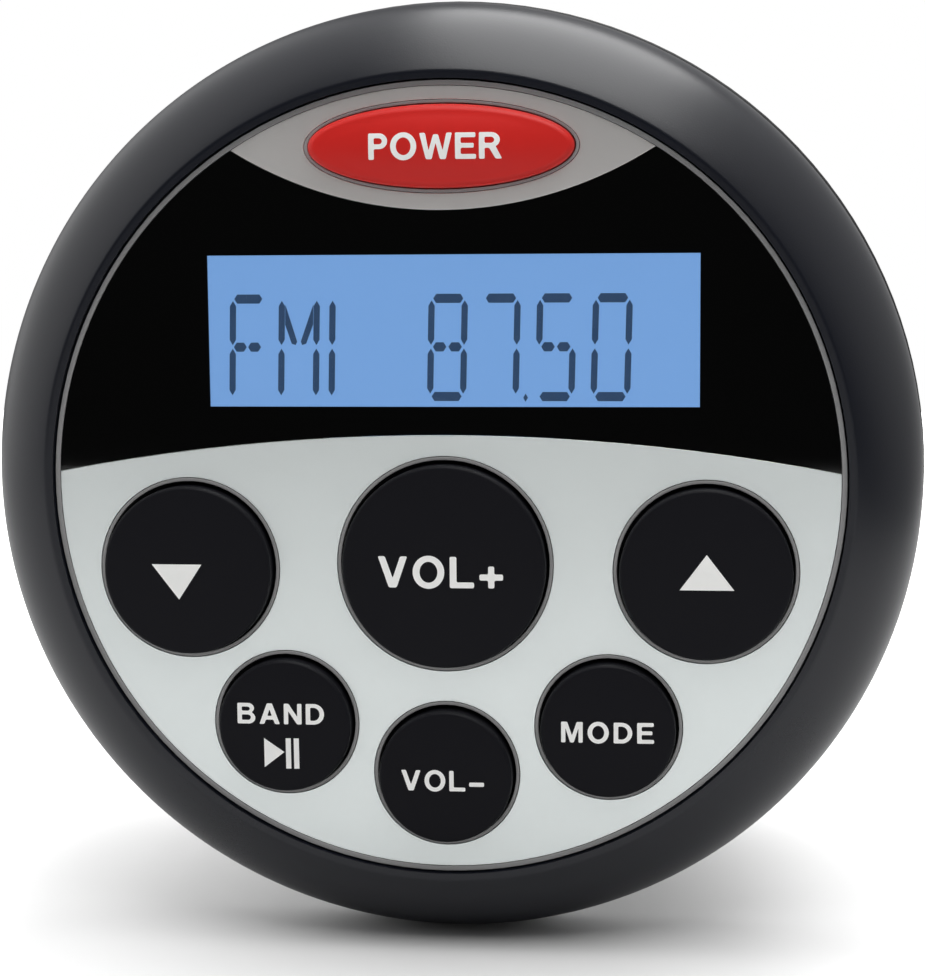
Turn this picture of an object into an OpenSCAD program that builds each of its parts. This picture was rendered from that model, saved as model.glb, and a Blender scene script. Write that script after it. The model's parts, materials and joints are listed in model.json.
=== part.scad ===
// Round panel-mounted car stereo: a keyed face with a display in a trim ring, a can behind the
// panel, and a clamp strap on two studs that pulls the ring against the panel.
// Millimetres. +Z is up, the face looks along -Y, and the origin is the centre of the panel seat.

/* [Face] */
// Radius of the printed face
face_r = 41.8; // [38:0.1:46]
// Height of the face over the panel seat
face_h = 14.5; // [13.5:0.1:18]
// Thickness of the inlays that make the face
inlay_t = 0.8; // [0.6:0.1:1.2]
// Thickness of the black mask behind the clear lens
mask_t = 0.2; // [0.1:0.05:0.3]
// Gap between an inlay and what it lies beside
inlay_gap = 0.06; // [0.03:0.01:0.1]
// Radius of the arc along the top of the lower inlay
arc_r = 221.6; // [180:1:300]
// Height of that arc's top over the face's centre
arc_top = 5.2; // [4.6:0.1:5.6]
// Radius of the arc under the crescent inlay
crescent_r = 42.3; // [40:0.1:46]
// Width of the crescent inlay under the power key
crescent_w = 2.25; // [2:0.05:3]

/* [Trim ring] */
// Width of the ring, from its inner edge to its widest line
ring_w = 8.45; // [7:0.05:12]
// Height of the widest line of the ring over the panel seat
ring_wide_h = 4.5; // [4:0.1:6]
// Distance of the ring's crest from its inner edge
crest_in = 0.9; // [0.7:0.05:2]
// Height of the crest over the face
crest_h = 0.8; // [0.7:0.1:3]
// Height of the ring's inner edge over the face
ring_step = 0.5; // [0.2:0.1:0.6]
// Radius of the rounding along the crest
crest_round = 0.4; // [0.2:0.05:0.6]
// Wall of the ring
ring_wall = 2.2; // [1.6:0.1:2.6]
// Gap between the ring and the front case
ring_gap = 0.15; // [0.05:0.01:0.2]

/* [Front case] */
// Thickness of the carrier plate behind the face
plate_t = 1.8; // [1.4:0.1:2.2]
// Width of the rim round the face
rim_w = 0.6; // [0.5:0.05:1]
// Wall of the skirt behind the rim
skirt_wall = 1.2; // [1:0.1:1.6]
// How far the ring reaches out past the flange under it
flange_in = 2.2; // [1.8:0.1:3]
// Thickness of the flange
flange_t = 2.5; // [2:0.1:3]
// Radius of the screw bosses
boss_r = 2.6; // [2.4:0.1:3]

/* [Keys] */
// Space between the lower inlay's top and the upper volume key
vol_up_drop = 2.75; // [2.4:0.05:4]
// Space between the two volume keys
vol_web = 4.35; // [3:0.05:6]
// Space between the lower volume key and the face's edge
vol_down_edge = 2.9; // [2:0.05:4]
// Radius of the three small keys for each millimetre of the upper volume key's radius
small_share = 0.667; // [0.6:0.001:0.7]
// How far the middle of the seek keys lies under that of the upper volume key
seek_drop = 0.6; // [0:0.05:1]
// Space between a seek key and the upper volume key
seek_web = 7.35; // [6:0.05:8]
// Space between a seek key and the face's edge, level with the upper volume key
seek_edge = 3.85; // [3:0.05:5]
// Space between the band or mode key and the upper volume key
band_web = 6.215; // [5.8:0.005:6.6]
// Space between the band or mode key and the face's edge
band_edge = 2.96; // [2.6:0.01:3.4]
// Space between the power key and the face's edge
power_edge = 1.9; // [1.6:0.05:3]
// Half the width of the power key
power_a = 14; // [12:0.1:14.4]
// Half the height of the power key
power_b = 4.35; // [4:0.05:4.6]
// Height of a key's straight side over the face
key_side_h = 0.6; // [0.4:0.05:1.6]
// Rounding of a key's edge
key_round = 1.1; // [0.4:0.05:1.2]
// Rise of a key's top between its rounded edges
key_dome = 0.2; // [0.1:0.05:0.4]
// Gap round a key
key_gap = 0.12; // [0.08:0.01:0.2]
// Width of the collar round a key hole
collar_w = 0.36; // [0.3:0.02:0.5]
// Wall of a key
key_wall = 1.5; // [1.2:0.1:1.8]
// Width of the lip that keeps a key behind the plate
key_lip_w = 0.8; // [0.6:0.05:1]
// Thickness of that lip
key_lip_t = 1; // [0.8:0.1:1.4]
// Gap between the lip and the plate
key_stop_gap = 0.05; // [0.03:0.01:0.1]
// Radius of a key's stem
key_stem_r = 2.2; // [1.9:0.1:2.6]
// How far a key can be pushed in
key_travel = 0.8; // [0.4:0.1:0.9]

/* [Key switches] */
// Width of a switch
switch_w = 6.2; // [5:0.1:6.4]
// Height of a switch
switch_h = 3.4; // [3:0.1:3.6]
// Radius of a switch's plunger
plunger_r = 1.65; // [1.4:0.05:1.8]
// Gap round a plunger
plunger_gap = 0.1; // [0.08:0.01:0.2]
// How far a plunger stands out of its switch
plunger_up = 1; // [1:0.1:1.4]
// How far a plunger reaches into its switch
plunger_in = 0.6; // [0.4:0.1:0.8]

/* [Display] */
// Centre of the window, to the right of the face's middle
window_x = 0.9; // [0:0.1:1]
// Space between the lower inlay's top and the window
window_low = 3; // [2.8:0.05:5]
// Space between the window and the crescent inlay
window_high = 4.65; // [4.4:0.05:6]
// Space between the window's upper right corner and the face's edge
window_side = 7; // [6:0.1:12]
// Width of the display's hidden edge, left and right
glass_edge_x = 2.2; // [1.6:0.1:2.4]
// Width of the display's hidden edge, above and below
glass_edge_y = 3; // [2.8:0.05:3.1]
// Thickness of the display
glass_t = 1.9; // [1.6:0.1:2.2]
// Gap between the display and the plate
glass_gap = 0.3; // [0.2:0.05:0.4]
// Thickness of the backlight panel
light_t = 2.5; // [2:0.1:3]
// Margin of the backlight panel round the window
light_edge = 0.15; // [0.1:0.05:0.2]
// Gap between the backlight panel and the tray
light_gap = 0.1; // [0.05:0.05:0.15]
// Width of the room for the lamps at each end of the tray
lamp_room = 2.4; // [2.2:0.1:2.6]
// Width of a lamp
lamp_w = 2; // [1.5:0.1:2.1]
// Number of lamps at each end
lamp_count = 3; // [2:1:4]
// Wall of the tray
tray_wall = 1; // [0.8:0.1:1.1]
// Radius of the tray's feet
tray_foot_r = 1.5; // [1:0.1:2]
// Distance of the tray's feet from its edges
tray_foot_in = 0.4; // [0.2:0.1:1]
// Thickness of the contact strip above the tray
strip_t = 1.2; // [1:0.1:1.4]

/* [Case] */
// Width of the step from the can's mouth collar in to the can
can_step = 2.5; // [2:0.1:2.8]
// Depth of the can behind the panel seat
can_depth = 44; // [42:0.5:60]
// Wall of the can
can_wall = 1.8; // [1.5:0.1:2.2]
// Thickness of the can's back
back_t = 2; // [1.8:0.1:3]
// Thickness of the collar at the can's mouth
collar_t = 2.6; // [2.4:0.1:2.8]
// Distance of that collar from the panel seat
collar_lift = 0.3; // [0.2:0.05:0.5]
// Gap between that collar and the skirt
collar_gap = 0.2; // [0.1:0.05:0.3]
// Thickness of the seal between the collar and the skirt
seal_t = 1.3; // [1:0.1:1.5]
// Gap round the seal
seal_gap = 0.05; // [0.03:0.01:0.1]
// Thickness of the gasket
gasket_t = 2; // [1.5:0.1:2.5]
// How far the gasket stands out past the ring
gasket_out = 0.4; // [0.2:0.1:1]
// Gap between the gasket and the collar
gasket_gap = 0.3; // [0.2:0.05:0.5]

/* [Boards and screws] */
// Thickness of a board
board_t = 1.6; // [1.2:0.1:2]
// Gap between the key board and the skirt
key_board_gap = 0.7; // [0.5:0.1:1]
// Gap between the other boards and the can
board_gap = 0.9; // [0.6:0.1:1.2]
// Length of the spacers in front of the main board
front_spacer_l = 8.9; // [8:0.1:12]
// Length of the spacers behind the main board
rear_spacer_l = 23.4; // [22:0.1:26]
// Radius of a spacer
spacer_r = 3; // [2.6:0.1:3.2]
// Radius of a screw's shank
screw_r = 1.5; // [1.25:0.05:1.6]
// Gap between a screw and what it passes through
screw_gap = 0.2; // [0.1:0.05:0.3]
// Gap between a screw and its threads
thread_gap = 0.04; // [0.02:0.01:0.08]
// How far a screw reaches into its boss
screw_bite = 5; // [4:0.1:6]
// Radius of a screw's head
head_r = 2.75; // [2.4:0.05:2.9]
// Height of a screw's head
head_h = 2.4; // [1.8:0.1:2.6]
// Depth of the recess for a screw's head
recess_d = 3; // [2.8:0.1:4]
// Gap round a screw's head
head_gap = 0.25; // [0.15:0.05:0.3]
// Radius of the columns behind the socket board
column_r = 4; // [3.8:0.1:4.2]
// Gap between the outer spacers and the can
spacer_gap = 0.15; // [0.1:0.05:0.3]
// Gap between the outer screw bosses and the display's tray
boss_gap = 0.25; // [0.2:0.05:0.5]

/* [Components] */
// Width of the amplifier chip
amp_w = 29; // [20:0.5:30]
// Thickness of the amplifier chip
amp_t = 4.5; // [3.5:0.1:5]
// Height of the amplifier chip
amp_h = 15.5; // [12:0.5:20]
// Height of the amplifier's back over the middle
amp_y = 2; // [1:0.5:3]
// How far the heat sink reaches past each end of the amplifier chip
sink_over = 0.5; // [0.2:0.1:1.5]
// Thickness of the heat sink's base
sink_t = 2.6; // [2:0.1:3]
// Height of the heat sink
sink_h = 21; // [16:0.5:21.5]
// Length of the heat sink's fins
fin_l = 7; // [4:0.1:7.5]
// Thickness of a fin
fin_t = 1.5; // [1:0.1:2]
// Number of fins
fin_count = 7; // [3:1:9]
// Radius of a filter capacitor
cap_r = 5; // [4:0.1:5.4]
// Height of a filter capacitor
cap_h = 16; // [10:0.5:20]
// Space between a filter capacitor and the board's edge
cap_edge = 2; // [1:0.1:3]
// Width of the tuner module
tuner_w = 20; // [14:0.5:20.5]
// Depth of the tuner module
tuner_d = 13; // [10:0.5:13.5]
// Height of the tuner module
tuner_h = 7; // [5:0.5:12]
// Gap between the tuner module and the heat sink's fins
tuner_gap = 1.9; // [1:0.1:2.4]
// Space between the tuner module's corner and the board's edge
tuner_edge = 2; // [1:0.1:4]
// Width of the control chip
control_w = 12; // [8:0.5:13]
// Thickness of the control chip
control_t = 1.4; // [1:0.1:2]
// Space between the control chip's corner and the board's edge
control_edge = 7.5; // [5:0.1:9]
// Width of the riser board
riser_w = 30; // [20:0.5:30]
// Height of the riser board's lower face over the middle
riser_y = -8.5; // [-9:0.1:-7]
// Width of the board header
header_w = 26; // [15:0.5:27]
// Depth of the board header
header_d = 5; // [4:0.1:6]
// Space between the board header and the board's edge
header_edge = 9.3; // [6:0.1:10]

/* [Sockets] */
// How far the sockets stand out of the can's back
socket_out = 6; // [3:0.5:8]
// Gap between a socket and the can's back
socket_gap = 0.2; // [0.1:0.05:0.4]
// Width of the harness socket
harness_w = 26; // [20:0.5:28]
// Height of the harness socket
harness_h = 11; // [10:0.5:11.5]
// Wall of the harness socket
harness_wall = 1.5; // [1.2:0.1:1.7]
// Space between the harness socket's lower corners and the can
harness_edge = 2.8; // [2:0.1:3.4]
// Depth of the harness socket
harness_d = 14; // [12:0.5:14.5]
// Thickness of a pin
pin_w = 0.8; // [0.6:0.1:1]
// Length of a pin
pin_l = 5.5; // [4:0.5:6]
// Distance between pins
pin_pitch = 3.6; // [3:0.1:3.8]
// Number of pins in a row
pin_count = 6; // [4:1:6]
// Radius of the aerial socket
aerial_r = 6.2; // [5.8:0.1:6.6]
// Radius of the aerial socket's bore
aerial_bore_r = 4.75; // [4:0.05:5]
// Depth of that bore
aerial_bore_d = 13; // [10:0.5:14]
// Space between the aerial socket and the can
aerial_edge = 10.5; // [9.5:0.1:11.5]
// Radius of the aerial contact
contact_r = 1.4; // [1:0.1:1.8]
// Length of the aerial contact
contact_l = 3; // [2:0.1:3.2]
// Gap round the aerial contact
contact_gap = 0.03; // [0.02:0.01:0.06]

/* [Clamp] */
// Radius of a stud
stud_r = 2.5; // [2:0.1:2.6]
// Space between a stud's boss and the can
stud_edge = 5.7; // [4.6:0.1:7]
// How far a stud reaches into the can's back
stud_in = 7; // [5:0.1:8]
// How far a stud stands out past its nut
stud_out = 3.5; // [2:0.1:8]
// Radius of the bosses that hold the studs
stud_boss_r = 5; // [4.6:0.1:5.2]
// How far the clamp strap can move towards the panel
clamp_travel = 10; // [6:0.5:20]
// Thickest panel that the clamp takes
panel_max = 12; // [11:0.5:24]
// Gap between the strap and the can's back when the strap is fully forward
strap_stop_gap = 1; // [0.5:0.1:2]
// Width of the strap
strap_w = 16; // [12:0.5:17]
// Thickness of the strap
strap_t = 2; // [1.5:0.1:2.5]
// Gap between a leg of the strap and the can
leg_gap = 2.5; // [2:0.1:3]
// Length of a foot of the strap, measured outward from its leg
foot_l = 5.5; // [4:0.1:6]
// Gap between the strap and a stud
strap_hole_gap = 0.2; // [0.1:0.05:0.3]
// Thickness of a washer
washer_t = 1; // [0.8:0.1:1.5]
// Radius of a washer
washer_r = 5.5; // [5:0.1:6.5]
// Radius of a nut's body
nut_r = 7; // [6:0.1:8]
// Height of a nut
nut_h = 6.5; // [5:0.1:8]
// Gap between a nut and its stud
nut_gap = 0.06; // [0.03:0.01:0.1]
// Number of grips round a nut
grip_count = 8; // [5:1:12]
// Radius of a grip
grip_r = 1.2; // [0.8:0.1:1.4]
// Radius of a nut's neck, on the washer
nut_neck_r = 4.5; // [4:0.1:5]
// Height of a nut's neck
nut_neck_h = 1.2; // [0.8:0.1:1.6]

/* [Hidden] */
$fn = 96;
cut = 1; // how far a cutting solid reaches past what it cuts
ring_black = "#2b2c2e";
key_black = "#1b1b1e";
silver = "#c9cccd";
carrier_grey = "#77777a";
board_green = "#23603a";
steel = "#b4b7ba";

// Heights over the panel seat, front to back
plate_front = face_h - inlay_t;
plate_back = plate_front - plate_t;
flange_top = gasket_t + flange_t;
collar_top = collar_lift + collar_t;
key_board_top = collar_top + board_t;
main_board_top = collar_top - front_spacer_l;
main_board_back = main_board_top - board_t;
socket_board_top = main_board_back - rear_spacer_l;
socket_board_back = socket_board_top - board_t;
can_back = -can_depth;
can_floor = can_back + back_t;
socket_end = can_back - socket_out;
recess_floor = can_back + recess_d;

// Radii, outward and inward from the face
rim_r = face_r + rim_w;
ring_in_r = rim_r + ring_gap;
crest_r = ring_in_r + crest_in;
ring_r = ring_in_r + ring_w;
flange_r = ring_r - flange_in;
gasket_r = ring_r + gasket_out;
skirt_in_r = rim_r - skirt_wall;
case_collar_r = skirt_in_r - collar_gap;
can_r = case_collar_r - can_step;
can_in_r = can_r - can_wall;
board_r = can_in_r - board_gap;

// Section of the ring: an outer arc that stands upright at the widest line, a small arc along the
// crest, and a low slope from there to the inner edge
crest_z = face_h + crest_h;
ring_curve_r = ((ring_r - crest_r) ^ 2 + (crest_z - ring_wide_h) ^ 2) / (2 * (ring_r - crest_r));
ring_curve_c = [ring_r - ring_curve_r, ring_wide_h];
crest_turn = atan2(crest_z - ring_wide_h, crest_r - ring_curve_c.x);
crest_out = [cos(crest_turn), sin(crest_turn)];
crest_c = ring_curve_c + (ring_curve_r - crest_round) * crest_out;
slope_foot = [ring_in_r, face_h + ring_step];
slope_d = norm(crest_c - slope_foot);
slope_turn = atan2(crest_c.y - slope_foot.y, crest_c.x - slope_foot.x) + asin(crest_round / slope_d);
crest_steps = 6;
crest_arc = [for (i = [0 : crest_steps - 1])
    let (turn = slope_turn + 90 + (crest_turn - slope_turn - 90) * i / crest_steps)
    crest_c + crest_round * [cos(turn), sin(turn)]];
ring_hollow_r = crest_r + ring_wall / 2;

// Layout of the face: the volume keys fill the height under the arc, the seek keys lie between the
// upper volume key and the edge, and the band and mode keys touch the rows of spaces round them
vol_up_r = (arc_top + face_r - vol_up_drop - vol_web - vol_down_edge) / (2 + 2 * small_share);
small_r = small_share * vol_up_r;
vol_up_y = arc_top - vol_up_drop - vol_up_r;
vol_down_y = vol_down_edge + small_r - face_r;
seek_r = (sqrt(face_r ^ 2 - vol_up_y ^ 2) - seek_edge - vol_up_r - seek_web) / 2;
seek_x = vol_up_r + seek_web + seek_r;
seek_y = vol_up_y - seek_drop;
band_far = face_r - band_edge - small_r;
band_near = vol_up_r + band_web + small_r;
band_y = (band_far ^ 2 - band_near ^ 2 + vol_up_y ^ 2) / (2 * vol_up_y);
band_x = sqrt(band_far ^ 2 - band_y ^ 2);
power_y = face_r - power_edge - power_b;
crescent_y = power_y - power_b - crescent_w;
window_h = crescent_y - window_high - arc_top - window_low;
window_y = arc_top + window_low + window_h / 2;
window_w = 2 * (sqrt(face_r ^ 2 - (window_y + window_h / 2) ^ 2) - window_side - window_x);

// Keys: place and radius of each round key, then the parts of their height
round_keys = [
    [[-seek_x, seek_y], seek_r],
    [[0, vol_up_y], vol_up_r],
    [[seek_x, seek_y], seek_r],
    [[-band_x, band_y], small_r],
    [[0, vol_down_y], small_r],
    [[band_x, band_y], small_r]
];
power_at = [0, power_y];
key_places = concat([power_at], [for (k = round_keys) k[0]]);
key_side_top = face_h + key_side_h;
key_edge_top = key_side_top + key_round;
key_lip_top = plate_back - key_stop_gap;
key_lip_back = key_lip_top - key_lip_t;
switch_top = key_board_top + switch_h;
key_stem_end = switch_top + plunger_up;
plunger_end = switch_top - plunger_in;
hole_reach = key_gap + collar_w + inlay_gap; // from a key's edge to the inlay round it

// Display
window_at = [window_x, window_y];
glass_size = [window_w + 2 * glass_edge_x, window_h + 2 * glass_edge_y];
glass_back = plate_front - glass_t;
light_size = [window_w + 2 * light_edge, window_h + 2 * light_edge];
light_back = glass_back - light_t;
pocket_size = light_size + 2 * [lamp_room, light_gap];
tray_size = pocket_size + 2 * [tray_wall, tray_wall];
tray_back = light_back - tray_wall;
strip_y = window_y + tray_size.y / 2 + light_gap;

// Screws: the outer ones under the display's tray, the inner ones between three keys each
outer_screw_y = window_y - tray_size.y / 2 - boss_gap - boss_r;
outer_screw_x = sqrt((can_in_r - spacer_gap - spacer_r) ^ 2 - outer_screw_y ^ 2);
inner_screw = [seek_x + band_x, vol_up_y + seek_y + band_y] / 3;
screw_places = [for (s = [-1, 1], p = [[outer_screw_x, outer_screw_y], inner_screw]) [s * p.x, p.y]];

// Components and sockets, placed from the board's edge and the can
sink_w = amp_w + 2 * sink_over;
cap_turns = [125, 152, 200];
cap_places = [for (turn = cap_turns) (board_r - cap_edge - cap_r) * [cos(turn), sin(turn)]];
tuner_y = amp_y + sink_t + fin_l + tuner_gap + tuner_d / 2;
tuner_at = [sqrt((board_r - tuner_edge) ^ 2 - (tuner_y + tuner_d / 2) ^ 2) - tuner_w / 2, tuner_y];
control_at = ((board_r - control_edge) / sqrt(2) - control_w / 2) * [-1, 1];
header_at = [0, board_r - header_edge - header_d / 2];
harness_y = harness_edge + harness_h / 2 - sqrt(can_in_r ^ 2 - (harness_w / 2) ^ 2);
aerial_y = can_in_r - aerial_edge - aerial_r;

// Studs and clamp
stud_x = can_in_r - stud_edge - stud_boss_r;
strap_front = can_back - strap_stop_gap - clamp_travel;
strap_back = strap_front - strap_t;
leg_x = can_r + leg_gap;
washer_back = strap_back - washer_t;
nut_back = washer_back - nut_h;
stud_end = nut_back - stud_out;

// Stands the face upright: the drawing's x, y and height become x, z and -y
module stand() {
    rotate([90, 0, 0]) children();
}

module disc(r, low, high) {
    translate([0, 0, low]) cylinder(r = r, h = high - low);
}

module tube(r_out, r_in, low, high) {
    difference() {
        disc(r_out, low, high);
        disc(r_in, low - cut, high + cut);
    }
}

module block(size, low, high) {
    translate([-size.x / 2, -size.y / 2, low]) cube([size.x, size.y, high - low]);
}

module at_each(places) {
    for (p = places) translate(p) children();
}

module oval(grow) {
    scale([(power_a + grow) / (power_b + grow), 1]) circle(power_b + grow);
}

// Trim ring
module ring_section() {
    beyond = [ring_r + cut, crest_z + ring_curve_r];
    difference() {
        union() {
            intersection() {
                translate(ring_curve_c) circle(ring_curve_r);
                polygon(concat([[ring_in_r, gasket_t], slope_foot], crest_arc,
                    [crest_c + ring_curve_r * crest_out, beyond, [beyond.x, gasket_t]]));
            }
            translate([ring_in_r, gasket_t]) square([ring_r - ring_in_r, ring_wide_h - gasket_t]);
        }
        square([flange_r + ring_gap, flange_top]);
        intersection() {
            translate(ring_curve_c) circle(ring_curve_r - ring_wall);
            translate([ring_hollow_r, flange_top - cut]) square([ring_r, crest_z]);
        }
    }
}

module trim_ring() {
    color(ring_black) stand() rotate_extrude() ring_section();
}

// Front case: carrier plate with a rim and key collars, skirt, flange and screw bosses
module front_case() {
    color(carrier_grey) stand() difference() {
        union() {
            disc(rim_r, plate_back, plate_front);
            tube(rim_r, face_r + inlay_gap, plate_front, face_h);
            tube(rim_r, skirt_in_r, gasket_t, plate_back);
            tube(flange_r, skirt_in_r, gasket_t, flange_top);
            for (k = round_keys) translate(k[0]) disc(k[1] + key_gap + collar_w, plate_back, face_h);
            translate([0, power_y, plate_back])
                linear_extrude(face_h - plate_back) oval(key_gap + collar_w);
            at_each(screw_places) disc(boss_r, key_board_top, plate_back);
        }
        for (k = round_keys) translate(k[0]) disc(k[1] + key_gap, plate_back - cut, face_h + cut);
        translate([0, power_y, plate_back - cut])
            linear_extrude(face_h - plate_back + 2 * cut) oval(key_gap);
        translate(window_at)
            block(glass_size + 2 * [glass_gap, glass_gap], plate_back - cut, face_h + cut);
        at_each(screw_places)
            disc(screw_r + thread_gap, key_board_top - cut, key_board_top + screw_bite + cut);
    }
}

// Face inlays
module below_arc(grow) {
    translate([0, arc_top - arc_r]) circle(arc_r + grow, $fn = 360);
}

module above_arc(grow) {
    translate([0, crescent_y + crescent_r]) circle(crescent_r + grow);
}

module lower_fascia() {
    color(silver) stand() translate([0, 0, plate_front]) linear_extrude(inlay_t) difference() {
        intersection() {
            circle(face_r);
            below_arc(0);
        }
        for (k = round_keys) translate(k[0]) circle(k[1] + hole_reach);
    }
}

module upper_fascia() {
    color(silver) stand() translate([0, 0, plate_front]) linear_extrude(inlay_t) difference() {
        intersection() {
            circle(face_r);
            above_arc(0);
        }
        translate(power_at) oval(hole_reach);
    }
}

module lens_outline() {
    difference() {
        circle(face_r);
        below_arc(inlay_gap);
        above_arc(inlay_gap);
    }
}

module display_lens() {
    color("#20242a", 0.5) stand() translate([0, 0, plate_front + mask_t])
        linear_extrude(inlay_t - mask_t) lens_outline();
}

module lens_mask() {
    color("#08080a") stand() translate([0, 0, plate_front]) linear_extrude(mask_t) difference() {
        lens_outline();
        translate(window_at) square([window_w, window_h], center = true);
    }
}

// Display
module lcd_glass() {
    color("#74a1d9") stand() translate(window_at) block(glass_size, glass_back, plate_front);
}

module backlight_panel() {
    color("#f4f7fb") stand() translate(window_at) block(light_size, light_back, glass_back);
}

module lcd_tray() {
    foot = tray_size / 2 - (tray_foot_in + tray_foot_r) * [1, 1];
    color("#e8e8e4") stand() translate(window_at) {
        difference() {
            block(tray_size, tray_back, glass_back);
            block(pocket_size, light_back, glass_back + cut);
        }
        for (sx = [-1, 1], sy = [-1, 1])
            translate([sx * foot.x, sy * foot.y]) disc(tray_foot_r, key_board_top, tray_back);
    }
}

module backlight_lamps() {
    pitch = light_size.y / lamp_count;
    color("#fff4c4") stand() translate(window_at)
        for (s = [-1, 1], i = [0 : lamp_count - 1])
            translate([s * (light_size.x + lamp_room) / 2, (i + 0.5) * pitch - light_size.y / 2])
                block([lamp_w, pitch / 2], light_back, light_back + lamp_w);
}

module contact_strip() {
    color("#8c4f72") stand() translate([window_x, strip_y + strip_t / 2])
        block([window_w, strip_t], key_board_top, glass_back);
}

// Keys: a domed cap with a keeping lip and a stem that stands on the switch's plunger
module key_section(r) {
    flat_r = r - key_round;
    dome_r = (flat_r ^ 2 + key_dome ^ 2) / (2 * key_dome);
    translate([0, key_lip_back]) square([r, key_side_top - key_lip_back]);
    translate([flat_r, key_side_top]) circle(key_round);
    translate([0, key_side_top]) square([flat_r, key_round]);
    intersection() {
        translate([0, key_edge_top + key_dome - dome_r]) circle(dome_r, $fn = 360);
        translate([0, key_side_top]) square([flat_r, key_edge_top]);
    }
}

module key_hollow(r) {
    disc(r - key_wall, key_lip_back - cut, key_side_top + key_round - key_wall);
}

module key_stem() {
    disc(key_stem_r, key_stem_end, key_edge_top - key_wall + key_round / 2);
}

module round_key(i) {
    r = round_keys[i][1];
    color(key_black) stand() translate(round_keys[i][0]) {
        difference() {
            union() {
                rotate_extrude() key_section(r);
                disc(r + key_lip_w, key_lip_back, key_lip_top);
            }
            key_hollow(r);
        }
        key_stem();
    }
}

module power_button() {
    stretch = [power_a / power_b, 1, 1];
    color("#c92a2c") stand() translate(power_at) {
        difference() {
            union() {
                scale(stretch) rotate_extrude() key_section(power_b);
                translate([0, 0, key_lip_back]) linear_extrude(key_lip_t) oval(key_lip_w);
            }
            scale(stretch) key_hollow(power_b);
        }
        key_stem();
    }
}

module seek_down_button() { round_key(0); }
module volume_up_button() { round_key(1); }
module seek_up_button() { round_key(2); }
module band_button() { round_key(3); }
module volume_down_button() { round_key(4); }
module mode_button() { round_key(5); }

module plunger(i) {
    color("#3a3a3d") stand() translate(key_places[i]) disc(plunger_r, plunger_end, key_stem_end);
}

module power_plunger() { plunger(0); }
module seek_down_plunger() { plunger(1); }
module volume_up_plunger() { plunger(2); }
module seek_up_plunger() { plunger(3); }
module band_plunger() { plunger(4); }
module volume_down_plunger() { plunger(5); }
module mode_plunger() { plunger(6); }

module key_switches() {
    well_end = plunger_end - key_travel - plunger_gap;
    color(steel) stand() at_each(key_places) difference() {
        block([switch_w, switch_w], key_board_top, switch_top);
        disc(plunger_r + plunger_gap, well_end, switch_top + cut);
    }
}

// Boards, clamped in one stack by the long case screws
module board(r, low) {
    color(board_green) stand() difference() {
        disc(r, low, low + board_t);
        at_each(screw_places) disc(screw_r + screw_gap, low - cut, low + board_t + cut);
    }
}

module spacers(low, high) {
    color(steel) stand() at_each(screw_places) tube(spacer_r, screw_r + screw_gap, low, high);
}

module key_board() { board(skirt_in_r - key_board_gap, collar_top); }
module main_board() { board(board_r, main_board_back); }
module socket_board() { board(board_r, socket_board_back); }
module front_spacers() { spacers(main_board_top, collar_top); }
module rear_spacers() { spacers(socket_board_top, main_board_back); }

module riser_board() {
    color(board_green) stand() translate([0, riser_y + board_t / 2])
        block([riser_w, board_t], socket_board_top, main_board_back);
}

module board_header() {
    color(key_black) stand() translate(header_at)
        block([header_w, header_d], main_board_top, collar_top);
}

// Components on the main board
module amplifier_chip() {
    color(key_black) stand() translate([0, amp_y - amp_t / 2])
        block([amp_w, amp_t], main_board_back - amp_h, main_board_back);
}

module heat_sink() {
    pitch = (sink_w - fin_t) / (fin_count - 1);
    low = main_board_back - sink_h;
    color("#c4c6c8") stand() translate([0, amp_y]) {
        translate([0, sink_t / 2]) block([sink_w, sink_t], low, main_board_back);
        for (i = [0 : fin_count - 1])
            translate([i * pitch - (sink_w - fin_t) / 2, (sink_t + fin_l) / 2])
                block([fin_t, sink_t + fin_l], low, main_board_back);
    }
}

module filter_capacitors() {
    color("#2f4a7a") stand() at_each(cap_places)
        disc(cap_r, main_board_back - cap_h, main_board_back);
}

module tuner_module() {
    color(steel) stand() translate(tuner_at)
        block([tuner_w, tuner_d], main_board_back - tuner_h, main_board_back);
}

module control_chip() {
    color(key_black) stand() translate(control_at)
        block([control_w, control_w], main_board_top, main_board_top + control_t);
}

// Sockets on the socket board, reaching out through the can's back
module harness_socket() {
    inside = [harness_w, harness_h] - 2 * [harness_wall, harness_wall];
    color("#e6e2d6") stand() translate([0, harness_y]) difference() {
        block([harness_w, harness_h], socket_end, socket_board_back);
        block(inside, socket_end - cut, socket_end + harness_d);
    }
}

module harness_pins() {
    floor_z = socket_end + harness_d;
    color("#c9a94a") stand() translate([0, harness_y])
        for (i = [0 : pin_count - 1], s = [-1, 1])
            translate([(i - (pin_count - 1) / 2) * pin_pitch, s * pin_pitch / 2])
                block([pin_w, pin_w], floor_z - pin_l, floor_z);
}

module aerial_socket() {
    floor_z = socket_end + aerial_bore_d;
    color(steel) stand() translate([0, aerial_y]) difference() {
        disc(aerial_r, socket_end, socket_board_back);
        disc(aerial_bore_r, socket_end - cut, floor_z);
        disc(contact_r + contact_gap, floor_z - cut, floor_z + contact_l);
    }
}

module aerial_contact() {
    floor_z = socket_end + aerial_bore_d;
    color("#c9a94a") stand() translate([0, aerial_y]) disc(contact_r, floor_z, floor_z + contact_l);
}

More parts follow.
